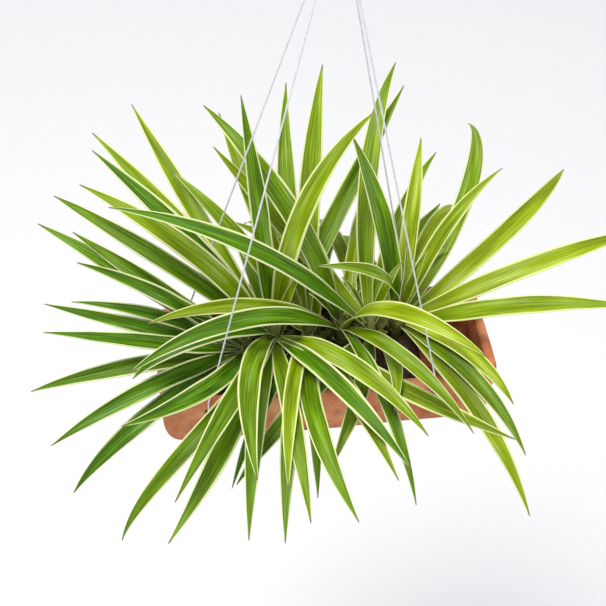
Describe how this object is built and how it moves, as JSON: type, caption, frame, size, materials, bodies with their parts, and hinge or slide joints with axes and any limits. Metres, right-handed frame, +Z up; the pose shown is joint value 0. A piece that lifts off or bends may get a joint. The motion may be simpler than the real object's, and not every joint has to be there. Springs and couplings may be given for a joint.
{
  "type": "potted spider plant",
  "caption": "Hanging terracotta trough planted with variegated spider plants, held by wire hangers gathered in a crimped sleeve under a ceiling hook.",
  "frame": {"origin": "where the ceiling hook carries the weight: on the underside of the top of its crook, midway between the four hanger wires", "axes": "+Z up, +X along the trough to its right end, -Y towards the front of the trough"},
  "size_m": [0.6339, 0.5339, 0.6699],
  "materials": {
    "terracotta": "unglazed fired clay, matt, water-stained",
    "soil": "dark crumbly potting soil",
    "leaf": "satin leaf with green middle and cream margins",
    "steel": "galvanised, satin",
    "wire": "galvanised, satin"
  },
  "bodies": {
    "root": {"terracotta_trough": "terracotta", "potting_soil": "soil", "spider_plant_1": "leaf", "spider_plant_2": "leaf", "spider_plant_3": "leaf", "spider_plant_4": "leaf", "spider_plant_5": "leaf", "spider_plant_6": "leaf", "ceiling_hook": "steel", "crimp_sleeve": "steel", "hanger_wire_front_left": "wire", "hanger_wire_front_right": "wire", "hanger_wire_back_left": "wire", "hanger_wire_back_right": "wire"}
  },
  "joints": []
}
